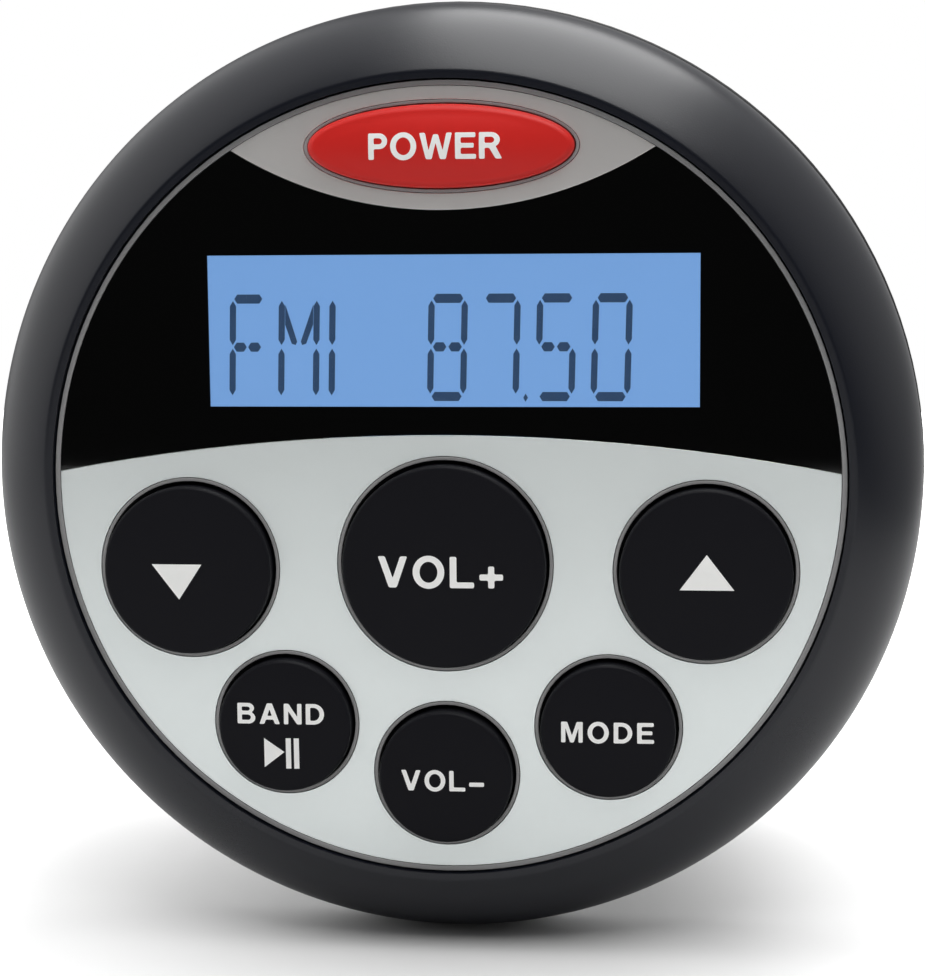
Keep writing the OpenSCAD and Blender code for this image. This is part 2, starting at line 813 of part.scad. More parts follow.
// Rear case: a can with a sealed collar, screw columns and stud bosses
module rear_case() {
    color("#3a3b3d") stand() difference() {
        union() {
            disc(can_r, can_back, collar_top);
            disc(case_collar_r, collar_lift, collar_top);
        }
        difference() {
            disc(can_in_r, can_floor, collar_top + cut);
            at_each(screw_places) disc(column_r, can_back, socket_board_back);
            for (s = [-1, 1]) translate([s * stud_x, 0]) disc(stud_boss_r, can_back, can_back + stud_in + cut);
        }
        tube(case_collar_r + cut, case_collar_r + collar_gap - seal_t - seal_gap,
            (collar_lift + collar_top - seal_t) / 2 - seal_gap,
            (collar_lift + collar_top + seal_t) / 2 + seal_gap);
        at_each(screw_places) {
            disc(screw_r + screw_gap, can_back - cut, socket_board_back + cut);
            disc(head_r + head_gap, can_back - cut, recess_floor);
        }
        for (s = [-1, 1]) translate([s * stud_x, 0])
            disc(stud_r + contact_gap, can_back - cut, can_back + stud_in);
        translate([0, harness_y])
            block([harness_w, harness_h] + 2 * [socket_gap, socket_gap], can_back - cut, can_floor + cut);
        translate([0, aerial_y]) disc(aerial_r + socket_gap, can_back - cut, can_floor + cut);
    }
}

module case_seal() {
    color("#222222") stand() translate([0, 0, (collar_lift + collar_top) / 2]) rotate_extrude()
        translate([skirt_in_r - seal_gap - seal_t / 2, 0]) circle(seal_t / 2);
}

module flange_gasket() {
    color("#1d1d1f") stand() tube(gasket_r, case_collar_r + gasket_gap, 0, gasket_t);
}

module case_screws() {
    slot = [head_r * 1.2, screw_r / 2];
    color(steel) stand() at_each(screw_places) {
        disc(screw_r, recess_floor, key_board_top + screw_bite);
        difference() {
            disc(head_r, recess_floor - head_h, recess_floor);
            for (turn = [0, 90]) rotate(turn)
                block(slot, recess_floor - head_h - cut, recess_floor - head_h / 2);
        }
    }
}

// Clamp
module mounting_studs() {
    color(steel) stand() for (s = [-1, 1]) translate([s * stud_x, 0])
        disc(stud_r, stud_end, can_back + stud_in);
}

module clamp_strap() {
    across = 2 * (leg_x + strap_t);
    color(steel) stand() difference() {
        union() {
            block([across, strap_w], strap_back, strap_front);
            for (s = [-1, 1]) {
                translate([s * (leg_x + strap_t / 2), 0])
                    block([strap_t, strap_w], strap_back, -panel_max);
                translate([s * (leg_x + (strap_t + foot_l) / 2), 0])
                    block([strap_t + foot_l, strap_w], -panel_max - strap_t, -panel_max);
            }
        }
        for (s = [-1, 1]) translate([s * stud_x, 0])
            disc(stud_r + strap_hole_gap, strap_back - cut, strap_front + cut);
    }
}

module clamp_washers() {
    color("#d0d2d4") stand() for (s = [-1, 1]) translate([s * stud_x, 0])
        tube(washer_r, stud_r + strap_hole_gap, washer_back, strap_back);
}

module thumb_nut(side) {
    color("#c8a852") stand() translate([side * stud_x, 0]) difference() {
        union() {
            disc(nut_neck_r, washer_back - nut_neck_h, washer_back);
            disc(nut_r, nut_back, washer_back - nut_neck_h);
            for (i = [0 : grip_count - 1]) rotate(i * 360 / grip_count)
                translate([nut_r, 0]) disc(grip_r, nut_back, washer_back - nut_neck_h);
        }
        disc(stud_r + nut_gap, nut_back - cut, washer_back + cut);
    }
}

module left_thumb_nut() { thumb_nut(-1); }
module right_thumb_nut() { thumb_nut(1); }

trim_ring();
front_case();
lower_fascia();
upper_fascia();
display_lens();
lens_mask();
lcd_glass();
lcd_tray();
contact_strip();
backlight_panel();
backlight_lamps();
power_button();
seek_down_button();
volume_up_button();
seek_up_button();
band_button();
volume_down_button();
mode_button();
power_plunger();
seek_down_plunger();
volume_up_plunger();
seek_up_plunger();
band_plunger();
volume_down_plunger();
mode_plunger();
key_switches();
key_board();
main_board();
socket_board();
riser_board();
board_header();
front_spacers();
rear_spacers();
amplifier_chip();
heat_sink();
filter_capacitors();
tuner_module();
control_chip();
harness_socket();
harness_pins();
aerial_socket();
aerial_contact();
rear_case();
case_seal();
flange_gasket();
case_screws();
mounting_studs();
clamp_strap();
clamp_washers();
left_thumb_nut();
right_thumb_nut();
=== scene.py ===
# Round panel stereo: trim ring, keyed face and lit display, with the can, sockets and clamp behind
import json
import math

import bpy
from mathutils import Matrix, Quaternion, Vector

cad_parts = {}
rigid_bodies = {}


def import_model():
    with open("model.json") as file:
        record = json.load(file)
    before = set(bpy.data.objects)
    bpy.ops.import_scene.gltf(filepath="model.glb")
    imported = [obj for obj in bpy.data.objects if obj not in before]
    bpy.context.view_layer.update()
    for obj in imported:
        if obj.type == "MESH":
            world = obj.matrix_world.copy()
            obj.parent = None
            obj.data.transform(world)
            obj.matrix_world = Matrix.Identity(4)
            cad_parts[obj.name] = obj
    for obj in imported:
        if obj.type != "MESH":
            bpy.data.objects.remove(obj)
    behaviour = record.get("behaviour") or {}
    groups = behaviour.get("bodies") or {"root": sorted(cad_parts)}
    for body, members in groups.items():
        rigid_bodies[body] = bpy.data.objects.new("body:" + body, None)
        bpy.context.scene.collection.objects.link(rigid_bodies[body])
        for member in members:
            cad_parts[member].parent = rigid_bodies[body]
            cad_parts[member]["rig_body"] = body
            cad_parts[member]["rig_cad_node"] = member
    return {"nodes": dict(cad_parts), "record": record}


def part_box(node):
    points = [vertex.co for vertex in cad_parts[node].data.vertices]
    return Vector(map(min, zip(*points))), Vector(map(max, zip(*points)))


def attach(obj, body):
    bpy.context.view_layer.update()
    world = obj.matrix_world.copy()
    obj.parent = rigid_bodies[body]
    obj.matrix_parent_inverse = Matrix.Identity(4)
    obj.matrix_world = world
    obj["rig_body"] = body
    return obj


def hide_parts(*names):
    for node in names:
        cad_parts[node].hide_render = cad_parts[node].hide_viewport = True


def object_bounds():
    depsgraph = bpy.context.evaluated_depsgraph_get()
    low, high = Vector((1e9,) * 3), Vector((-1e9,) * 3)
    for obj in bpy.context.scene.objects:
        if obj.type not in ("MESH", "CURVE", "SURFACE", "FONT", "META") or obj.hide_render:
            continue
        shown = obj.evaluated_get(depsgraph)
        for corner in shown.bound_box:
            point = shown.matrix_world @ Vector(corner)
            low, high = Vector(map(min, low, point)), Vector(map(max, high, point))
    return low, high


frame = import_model()
cadLow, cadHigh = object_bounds()
scene = bpy.context.scene
scene.view_settings.view_transform = "Standard"
mm = 0.001
print("frame loaded:", len(frame["nodes"]), "nodes")


# Camera, fitted to the circles of the face
cameraSet = {
    "place": (28.56, -252.07, 30.69),   # mm
    "aim": (2.02, -14.5, -0.41),        # mm
    "roll": -0.51,                      # degrees
    "focal": 2268.2,                    # pixels
    "pictureHeight": 976,               # pixels, the longer side
    "sensor": 36.0,                     # mm
    "near": 0.01,                       # m
}


def makeCamera(s):
    place = Vector(s["place"]) * mm
    aim = Vector(s["aim"]) * mm
    bpy.ops.object.camera_add(location=place)
    camera = bpy.context.object
    camera.rotation_mode = "QUATERNION"
    turn = (aim - place).to_track_quat("-Z", "Y")
    camera.rotation_quaternion = turn @ Quaternion((0, 0, 1), math.radians(s["roll"]))
    camera.data.sensor_width = s["sensor"]
    camera.data.lens = s["focal"] / s["pictureHeight"] * s["sensor"]
    camera.data.clip_start = s["near"]
    scene.camera = camera


makeCamera(cameraSet)


# Operators act on all that is selected, so each piece starts from nothing selected
def deselectAll():
    if bpy.context.object and bpy.context.object.mode != "OBJECT":
        bpy.ops.object.mode_set(mode="OBJECT")
    bpy.ops.object.select_all(action="DESELECT")


def applyModifiers(piece):
    for modifier in list(piece.modifiers):
        bpy.ops.object.modifier_apply(modifier=modifier.name)


def settle(piece, name, material, body, replaced=()):
    piece.name = name
    piece.data.name = name
    piece.data.materials.clear()
    piece.data.materials.append(material)
    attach(piece, body)
    if replaced:
        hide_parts(*replaced)
    return piece


# Shader parts that several finishes share
def newGroup(name, inputs, outputs):
    group = bpy.data.node_groups.new(name, "ShaderNodeTree")
    for socket, value in inputs.items():
        made = group.interface.new_socket(name=socket, in_out="INPUT", socket_type="NodeSocketFloat")
        made.default_value = value
    for socket in outputs:
        group.interface.new_socket(name=socket, in_out="OUTPUT", socket_type="NodeSocketFloat")
    return group, group.nodes.new("NodeGroupInput"), group.nodes.new("NodeGroupOutput")


def mathNode(tree, operation, first, second):
    node = tree.nodes.new("ShaderNodeMath")
    node.operation = operation
    for i, value in enumerate((first, second)):
        if isinstance(value, (int, float)):
            node.inputs[i].default_value = value
        else:
            tree.links.new(value, node.inputs[i])
    return node.outputs[0]


def noiseNode(tree, vector, scale, detail=2.0, rough=0.5):
    node = tree.nodes.new("ShaderNodeTexNoise")
    node.inputs["Detail"].default_value = detail
    node.inputs["Roughness"].default_value = rough
    tree.links.new(vector, node.inputs["Vector"])
    if isinstance(scale, (int, float)):
        node.inputs["Scale"].default_value = scale
    else:
        tree.links.new(scale, node.inputs["Scale"])
    return node.outputs["Fac"]


def spreadNode(tree, noise, spread):
    # noise as an offset to either side of nothing
    return mathNode(tree, "MULTIPLY", mathNode(tree, "SUBTRACT", noise, 0.5), spread)


def dotNode(tree, way, direction):
    node = tree.nodes.new("ShaderNodeVectorMath")
    node.operation = "DOT_PRODUCT"
    node.inputs[1].default_value = direction
    tree.links.new(way, node.inputs[0])
    return node.outputs["Value"]


def riseNode(tree, value, start, full, level=1.0):
    # nothing up to start, level from full on, and a smooth rise between
    node = tree.nodes.new("ShaderNodeMapRange")
    node.interpolation_type = "SMOOTHSTEP"
    node.inputs["From Min"].default_value = start
    node.inputs["From Max"].default_value = full
    node.inputs["To Max"].default_value = level
    tree.links.new(value, node.inputs["Value"])
    return node.outputs[0]


def makeGrain():
    # moulded grain: fine pits over a slow drift, as a height and as a roughness offset
    group, ins, outs = newGroup("mouldGrain", {"Scale": 6000.0, "Drift": 60.0, "Spread": 0.1},
                                ("Height", "Rough"))
    place = group.nodes.new("ShaderNodeTexCoord").outputs["Object"]
    fine = noiseNode(group, place, ins.outputs["Scale"], 3.0, 0.6)
    slow = noiseNode(group, place, ins.outputs["Drift"], 3.0, 0.55)
    slowSpread = spreadNode(group, slow, ins.outputs["Spread"])
    fineSpread = spreadNode(group, fine, ins.outputs["Spread"])
    group.links.new(fine, outs.inputs["Height"])
    group.links.new(mathNode(group, "ADD", slowSpread, fineSpread), outs.inputs["Rough"])
    return group


def makeBrush():
    # brushing along one axis: noise drawn out by a mapping
    group, ins, outs = newGroup("brushMarks", {"Scale": 900.0, "Stretch": 0.03, "Spread": 0.2},
                                ("Height", "Rough"))
    place = group.nodes.new("ShaderNodeTexCoord").outputs["Object"]
    mapping = group.nodes.new("ShaderNodeMapping")
    stretch = group.nodes.new("ShaderNodeCombineXYZ")
    group.links.new(ins.outputs["Stretch"], stretch.inputs["X"])
    stretch.inputs["Y"].default_value = 1.0
    stretch.inputs["Z"].default_value = 1.0
    group.links.new(stretch.outputs[0], mapping.inputs["Scale"])
    group.links.new(place, mapping.inputs["Vector"])
    lines = noiseNode(group, mapping.outputs[0], ins.outputs["Scale"], 4.0, 0.65)
    group.links.new(lines, outs.inputs["Height"])
    group.links.new(spreadNode(group, lines, ins.outputs["Spread"]), outs.inputs["Rough"])
    return group


def makeTint():
    # slow mottling between two strengths, for a colour that isn't dead flat
    group, ins, outs = newGroup("tintDrift", {"Scale": 80.0, "Low": 0.92, "High": 1.06}, ("Factor",))
    place = group.nodes.new("ShaderNodeTexCoord").outputs["Object"]
    slow = noiseNode(group, place, ins.outputs["Scale"], 4.0, 0.6)
    reach = mathNode(group, "SUBTRACT", ins.outputs["High"], ins.outputs["Low"])
    scaled = mathNode(group, "MULTIPLY", slow, reach)
    group.links.new(mathNode(group, "ADD", scaled, ins.outputs["Low"]), outs.inputs["Factor"])
    return group


grainGroup = makeGrain()
brushGroup = makeBrush()
tintGroup = makeTint()


def groupNode(tree, group, values):
    node = tree.nodes.new("ShaderNodeGroup")
    node.node_tree = group
    for socket, value in values.items():
        node.inputs[socket].default_value = value
    return node


def newMaterial(name):
    material = bpy.data.materials.new(name)
    material.use_nodes = True
    tree = material.node_tree
    return material, tree, tree.nodes["Principled BSDF"]


def tintColor(tree, color, tint, socket):
    # a colour that drifts a little, led into a socket
    drift = groupNode(tree, tintGroup, tint)
    scaled = tree.nodes.new("ShaderNodeVectorMath")
    scaled.operation = "SCALE"
    scaled.inputs[0].default_value = color
    tree.links.new(drift.outputs["Factor"], scaled.inputs["Scale"])
    tree.links.new(scaled.outputs[0], socket)


def finish(name, color, rough, surface="grain", grain=None, tint=None, bump=0.1, depth=0.02, **sockets):
    # one finish: tinted colour, roughness with its grain, and a bump from the same grain
    material, tree, shader = newMaterial(name)
    for socket, value in sockets.items():
        shader.inputs[socket.replace("_", " ")].default_value = value
    tintColor(tree, color, tint or {}, shader.inputs["Base Color"])
    marks = groupNode(tree, brushGroup if surface == "brush" else grainGroup, grain or {})
    tree.links.new(mathNode(tree, "ADD", marks.outputs["Rough"], rough), shader.inputs["Roughness"])
    raised = tree.nodes.new("ShaderNodeBump")
    raised.inputs["Strength"].default_value = bump
    raised.inputs["Distance"].default_value = depth * mm
    tree.links.new(marks.outputs["Height"], raised.inputs["Height"])
    tree.links.new(raised.outputs[0], shader.inputs["Normal"])
    return material


ringBlack = finish("ringBlack", (0.0035, 0.0046, 0.0095), 0.30, bump=0.3, depth=0.03,
                   grain={"Scale": 5200.0, "Drift": 50.0, "Spread": 0.08}, Specular_IOR_Level=0.52)
keyBlack = finish("keyBlack", (0.0038, 0.0038, 0.0062), 0.52, bump=0.12, Specular_IOR_Level=0.15,
                  grain={"Scale": 7000.0, "Drift": 120.0, "Spread": 0.1})
keyRed = finish("keyRed", (0.635, 0.015, 0.011), 0.46, bump=0.1, Specular_IOR_Level=0.3,
                grain={"Scale": 7000.0, "Drift": 120.0, "Spread": 0.08})
silver = {
    "rough": 0.38, "bump": 0.08, "Metallic": 0.88,
    "grain": {"Scale": 9000.0, "Drift": 40.0, "Spread": 0.1},
    "tint": {"Scale": 45.0, "Low": 0.96, "High": 1.03},
}
faceSilver = finish("faceSilver", (0.93, 0.985, 0.975), **silver)
# painted shade: the crescent under the ring gets a warmer copy of the face silver, standing in for the tone
# of its shade
upperSilverShadeTint = finish("upperSilverShadeTint", (0.998, 0.968, 0.945), **silver)
carrierGrey = finish("carrierGrey", (0.305, 0.303, 0.304), 0.4, bump=0.08)
# painted reflection: the mask's faint blue tint stands in for the lens's faint blue reflection
maskBlackBlueSheen = finish("maskBlackBlueSheen", (0.0024, 0.0021, 0.0042), 0.35, bump=0.02)
legendWhite = finish("legendWhite", (0.97, 0.97, 0.95), 0.55, bump=0.05,
                     tint={"Scale": 400.0, "Low": 0.95, "High": 1.03})
caseBlack = finish("caseBlack", (0.02, 0.0205, 0.022), 0.5, bump=0.4, depth=0.05,
                   grain={"Scale": 2600.0, "Drift": 40.0, "Spread": 0.14})
sealRubber = finish("sealRubber", (0.012, 0.012, 0.0125), 0.7, bump=0.2,
                    grain={"Scale": 3000.0, "Drift": 80.0, "Spread": 0.12})
stripRubber = finish("stripRubber", (0.25, 0.09, 0.16), 0.6)
trayWhite = finish("trayWhite", (0.75, 0.75, 0.72), 0.45)
lightPanel = finish("lightPanel", (0.85, 0.88, 0.92), 0.3)
lampYellow = finish("lampYellow", (0.85, 0.75, 0.4), 0.25)
chipBlack = finish("chipBlack", (0.02, 0.02, 0.022), 0.55, bump=0.3)
boardGreen = finish("boardGreen", (0.03, 0.12, 0.05), 0.3, tint={"Scale": 300.0, "Low": 0.8, "High": 1.15})
capacitorBlue = finish("capacitorBlue", (0.03, 0.06, 0.17), 0.3)
socketCream = finish("socketCream", (0.75, 0.72, 0.62), 0.45, bump=0.1)
brightSteel = finish("brightSteel", (0.62, 0.62, 0.63), 0.3, "brush", Metallic=1.0,
                     grain={"Scale": 1500.0, "Stretch": 0.05, "Spread": 0.15})
strapSteel = finish("strapSteel", (0.58, 0.59, 0.60), 0.36, "brush", Metallic=1.0, bump=0.15,
                    grain={"Scale": 1200.0, "Stretch": 0.02, "Spread": 0.22},
                    tint={"Scale": 60.0, "Low": 0.86, "High": 1.06})
sinkAluminium = finish("sinkAluminium", (0.7, 0.71, 0.72), 0.35, "brush", Metallic=1.0)
nutBrass = finish("nutBrass", (0.70, 0.50, 0.22), 0.32, "brush", Metallic=1.0, bump=0.12,
                  grain={"Scale": 2500.0, "Stretch": 1.0, "Spread": 0.18})
contactBrass = finish("contactBrass", (0.75, 0.56, 0.25), 0.28, "brush", Metallic=1.0)


lensSheet = {
    "color": (0.97, 0.98, 0.99, 1), "index": 1.49, "rough": 0.03,
    "grain": {"Scale": 3000.0, "Drift": 60.0, "Spread": 0.02},
}
glowBody = {"share": 0.15, "rough": 0.6}    # what a lit surface is without its light


def makeLens(s):
    material, tree, shader = newMaterial("clearLens")
    shader.inputs["Base Color"].default_value = s["color"]
    shader.inputs["Transmission Weight"].default_value = 1.0
    shader.inputs["IOR"].default_value = s["index"]
    marks = groupNode(tree, grainGroup, s["grain"])
    tree.links.new(mathNode(tree, "ADD", marks.outputs["Rough"], s["rough"]), shader.inputs["Roughness"])
    return material


def makeGlow(name, color, strength, tint):
    # a lit surface: its own light, a little uneven, over a dark body
    material, tree, shader = newMaterial(name)
    shader.inputs["Base Color"].default_value = (*[c * glowBody["share"] for c in color], 1)
    shader.inputs["Roughness"].default_value = glowBody["rough"]
    shader.inputs["Emission Strength"].default_value = strength
    tintColor(tree, color, tint, shader.inputs["Emission Color"])
    return material


clearLens = makeLens(lensSheet)
displayBlue = makeGlow("displayBlue", (0.174, 0.356, 0.694), 1.0, {"Scale": 30.0, "Low": 0.97, "High": 1.03})
segmentNavy = makeGlow("segmentNavy", (0.020, 0.053, 0.120), 0.95, {"Scale": 500.0, "Low": 0.9, "High": 1.1})
print("finishes made")

# Finish of each node, worn by its eased copy too; the plungers take the last line's black
nodeFinish = {
    "trim_ring": ringBlack, "front_case": carrierGrey, "lower_fascia": faceSilver,
    "upper_fascia": upperSilverShadeTint, "display_lens": clearLens, "lens_mask": maskBlackBlueSheen,
    "lcd_glass": displayBlue, "lcd_tray": trayWhite, "contact_strip": stripRubber,
    "backlight_panel": lightPanel, "backlight_lamps": lampYellow,
    "key_switches": brightSteel, "key_board": boardGreen, "main_board": boardGreen,
    "socket_board": boardGreen, "riser_board": boardGreen, "board_header": chipBlack,
    "front_spacers": brightSteel, "rear_spacers": brightSteel, "amplifier_chip": chipBlack,
    "heat_sink": sinkAluminium, "filter_capacitors": capacitorBlue, "tuner_module": brightSteel,
    "control_chip": chipBlack, "harness_socket": socketCream, "harness_pins": contactBrass,
    "aerial_socket": brightSteel, "aerial_contact": contactBrass, "rear_case": caseBlack,
    "case_seal": sealRubber, "flange_gasket": sealRubber, "case_screws": brightSteel,
    "mounting_studs": brightSteel, "clamp_strap": strapSteel, "clamp_washers": brightSteel,
    "left_thumb_nut": nutBrass, "right_thumb_nut": nutBrass,
}
for nodeName, node in frame["nodes"].items():
    node.data.materials.clear()
    node.data.materials.append(nodeFinish.get(nodeName, chipBlack))


# Stage: a pale sheet, white surroundings and one broad lamp overhead
stageSet = {
    "sheet": {"front": -0.45, "back": 0.60, "left": -0.60, "right": 0.22},
    "whiteFrom": 0.07, "whiteTo": 0.28,     # the sheet turns plain white this far from the object
    "lamp": {"place": (0.115, -0.06, 0.54), "size": (0.40, 0.96), "power": 5.4},
    "dark": 0.05,                           # what gloss shows of the side the eye is on
    "lobes": (                              # pale walls, each rising from start to full about its direction
        {"from": (-0.83, 0.15, 0.54), "start": 0.48, "full": 0.84, "level": 0.99},
        {"from": (0.50, 0.87, 0.0), "start": 0.35, "full": 0.95, "level": 0.45},
        {"from": (0.82, 0.12, 0.55), "start": 0.45, "full": 1.00, "level": 0.62},
    ),
    "backlight": 2.25,                      # soft light on the sheet from behind
    "backFrom": (-0.25, 0.97, 0.0),
    "paper": 0.40, "paperSeen": 0.66,       # the sheet as it bounces light, and as the eye takes it
    "paperRough": 0.9, "paperShine": 0.1,
}


def makeFloor(s):
    deselectAll()
    sheet = s["sheet"]
    bpy.ops.mesh.primitive_plane_add(size=1.0, location=(0, 0, cadLow.z))
    floor = bpy.context.object
    floor.name = "floor"
    bpy.ops.object.mode_set(mode="EDIT")
    bpy.ops.mesh.select_all(action="SELECT")
    bpy.ops.transform.resize(value=(sheet["right"] - sheet["left"], sheet["back"] - sheet["front"], 1),
                             center_override=(0, 0, cadLow.z))
    bpy.ops.transform.translate(value=((sheet["right"] + sheet["left"]) / 2,
                                       (sheet["back"] + sheet["front"]) / 2, 0))
    bpy.ops.object.mode_set(mode="OBJECT")
    material, tree, shader = newMaterial("floorWhite")
    shader.inputs["Roughness"].default_value = s["paperRough"]
    shader.inputs["Specular IOR Level"].default_value = s["paperShine"]
    shader.inputs["Emission Color"].default_value = (1, 1, 1, 1)
    far = tree.nodes.new("ShaderNodeVectorMath")
    far.operation = "LENGTH"
    tree.links.new(tree.nodes.new("ShaderNodeTexCoord").outputs["Object"], far.inputs[0])
    fade = riseNode(tree, far.outputs["Value"], s["whiteFrom"], s["whiteTo"])
    eye = tree.nodes.new("ShaderNodeLightPath").outputs["Is Camera Ray"]
    seen = mathNode(tree, "MULTIPLY", eye, s["paperSeen"] - s["paper"])
    tree.links.new(mathNode(tree, "ADD", seen, s["paper"]), shader.inputs["Base Color"])
    tree.links.new(mathNode(tree, "MULTIPLY", fade, eye), shader.inputs["Emission Strength"])
    floor.data.materials.append(material)


def makeLamp(s):
    bpy.ops.object.light_add(type="AREA", location=s["place"])
    lamp = bpy.context.object
    lamp.name = "overhead"
    lamp.data.shape = "RECTANGLE"
    lamp.data.size, lamp.data.size_y = s["size"]
    lamp.data.energy = s["power"]


def makeWorld(s):
    # white to the eye; gloss and soft light get a white wall at the left, dimmer ones right and behind
    world = bpy.data.worlds.new("studio")
    scene.world = world
    world.use_nodes = True
    tree = world.node_tree
    shader = tree.nodes["Background"]
    shader.inputs["Color"].default_value = (1, 1, 1, 1)
    way = tree.nodes.new("ShaderNodeTexCoord").outputs["Generated"]
    around = s["dark"]
    for lobe in s["lobes"]:
        wall = riseNode(tree, dotNode(tree, way, lobe["from"]), lobe["start"], lobe["full"], lobe["level"])
        around = mathNode(tree, "MAXIMUM", wall, around)
    path = tree.nodes.new("ShaderNodeLightPath")
    behind = mathNode(tree, "GREATER_THAN", dotNode(tree, way, s["backFrom"]), 0.0)
    behind = mathNode(tree, "MULTIPLY", behind, path.outputs["Is Diffuse Ray"])
    around = mathNode(tree, "ADD", around, mathNode(tree, "MULTIPLY", behind, s["backlight"]))
    strength = mathNode(tree, "MAXIMUM", around, path.outputs["Is Camera Ray"])
    tree.links.new(strength, shader.inputs["Strength"])


makeFloor(stageSet)
makeLamp(stageSet["lamp"])
makeWorld(stageSet)
print("stage set")


joinWithin = 1e-6       # m, points of an outline or a solid closer than this are one
closeWithin = 1e-7      # m, the same on a finished surface


# Draws closed outlines as chains of edges, each from one vertex extruded point by point
def drawOutlines(outlines):
    deselectAll()
    bpy.ops.mesh.primitive_plane_add(size=mm, location=(0, 0, 0))
    piece = bpy.context.object
    bpy.ops.object.mode_set(mode="EDIT")
    bpy.ops.mesh.select_all(action="SELECT")
    bpy.ops.mesh.merge(type="CENTER")
    at = Vector((0, 0, 0))
    for i, outline in enumerate(outlines):
        points = [Vector(point) for point in outline]
        if i:
            bpy.ops.mesh.duplicate()
        bpy.ops.transform.translate(value=points[0] - at)
        for here, there in zip(points, points[1:] + points[:1]):
            bpy.ops.mesh.extrude_vertices_move(TRANSFORM_OT_translate={"value": there - here})
        at = points[0]
    bpy.ops.mesh.select_all(action="SELECT")
    bpy.ops.mesh.remove_doubles(threshold=joinWithin)
    return piece


def closeUp(piece, smooth=35):
    bpy.ops.object.mode_set(mode="EDIT")
    bpy.ops.mesh.select_all(action="SELECT")
    bpy.ops.mesh.remove_doubles(threshold=closeWithin)
    bpy.ops.mesh.normals_make_consistent(inside=False)
    bpy.ops.object.mode_set(mode="OBJECT")
    bpy.ops.object.shade_smooth_by_angle(angle=math.radians(smooth))


def arc(centre, radii, start, end, steps):
    turns = [math.radians(start + (end - start) * i / steps) for i in range(steps + 1)]
    return [(centre[0] + radii[0] * math.cos(t), centre[1] + radii[1] * math.sin(t)) for t in turns]


# Trim ring: narrow land beside the face, rounded crest, one broad curve to the rim, hollow behind
trimRing = {
    "inner": 42.55, "outer": 51.0, "seat": 2.0, "widest": 5.0, "face": 14.5, "step": 0.72,
    "crestIn": 1.0, "crestOver": 0.66, "crestRound": 1.0, "crestTurn": 61, "wall": 2.2,
    "pocket": 48.95, "pocketTop": 4.5,
    "steps": 240, "curveSteps": 40, "crestSteps": 8, "hollowSteps": 12,
}


def ringSection(s):
    turn = math.radians(s["crestTurn"])
    crest = Vector((s["inner"] + s["crestIn"], s["face"] + s["crestOver"]))
    across = (s["outer"] - crest.x) / (1 - math.cos(turn))
    deep = (crest.y - s["widest"]) / math.sin(turn)
    middle = Vector((s["outer"] - across, s["widest"]))
    outward = Vector((math.cos(turn) / across, math.sin(turn) / deep)).normalized()
    crestMiddle = crest - s["crestRound"] * outward
    outerTurn = math.degrees(math.atan2(outward.y, outward.x))
    foot = Vector((s["inner"], s["face"] + s["step"]))
    slope = crestMiddle - foot
    slopeTurn = math.atan2(slope.y, slope.x) + math.asin(s["crestRound"] / slope.length)
    rounding = (s["crestRound"], s["crestRound"])
    section = arc(middle, (across, deep), 0, s["crestTurn"], s["curveSteps"])
    section += arc(crestMiddle, rounding, outerTurn, math.degrees(slopeTurn) + 90, s["crestSteps"])[1:]
    section += [tuple(foot), (s["inner"], s["pocketTop"])]
    inside = (across - s["wall"], deep - s["wall"])
    hollow = crest.x + s["wall"] / 2
    hollowTurn = math.degrees(math.acos((hollow - middle.x) / inside[0]))
    section += [(hollow, s["pocketTop"])]
    section += arc(middle, inside, hollowTurn, 0, s["hollowSteps"])
    section += [(s["pocket"], s["pocketTop"]), (s["pocket"], s["seat"]), (s["outer"], s["seat"])]
    return [(r * mm, -h * mm, 0) for r, h in section]


def makeRing(s):
    ring = drawOutlines([ringSection(s)])
    bpy.ops.mesh.select_all(action="SELECT")
    bpy.ops.mesh.spin(steps=s["steps"], angle=math.tau, center=(0, 0, 0), axis=(0, 1, 0))
    closeUp(ring)
    settle(ring, "ring_trim", ringBlack, "chassis", ["trim_ring"])


makeRing(trimRing)
print("trim ring turned")


# Keys: stem, hollow, keeping lip, side, rounded edge and a low dome, raised loop by loop
keyCap = {
    "lip": 0.8, "lipBack": 10.85, "lipTop": 11.85, "wall": 1.5, "hollowTop": 14.7,
    "stem": 2.2, "round": 0.4, "dome": 0.2, "under": 0.04,
    "shy": 0.2, "drop": 0.12,           # a little smaller than its solid, and lower in the hole
    "segments": 144, "edgeSteps": 10, "domeSteps": 8,
}


def keyLoops(low, high, s):
    across = (high.x - low.x) / 2 / mm - s["lip"] - s["shy"]
    along = (high.z - low.z) / 2 / mm - s["lip"] - s["shy"]
    top = -low.y / mm - s["under"]
    sideTop = top - s["dome"] - s["round"]
    loops = [(s["stem"], s["stem"], -high.y / mm), (s["stem"], s["stem"], s["hollowTop"])]
    for grow, height in ((-s["wall"], s["hollowTop"]), (-s["wall"], s["lipBack"]), (s["lip"], s["lipBack"]),
                         (s["lip"], s["lipTop"]), (0, s["lipTop"]), (0, sideTop)):
        loops.append((across + grow, along + grow, height))
    for i in range(1, s["edgeSteps"] + 1):
        turn = math.radians(90 * i / s["edgeSteps"])
        inset = s["round"] * (1 - math.cos(turn))
        loops.append((across - inset, along - inset, sideTop + s["round"] * math.sin(turn)))
    flat = (across - s["round"], along - s["round"])
    for i in range(1, s["domeSteps"]):
        share = 1 - i / s["domeSteps"]
        loops.append((flat[0] * share, flat[1] * share, top - s["dome"] * share ** 2))
    return loops, top


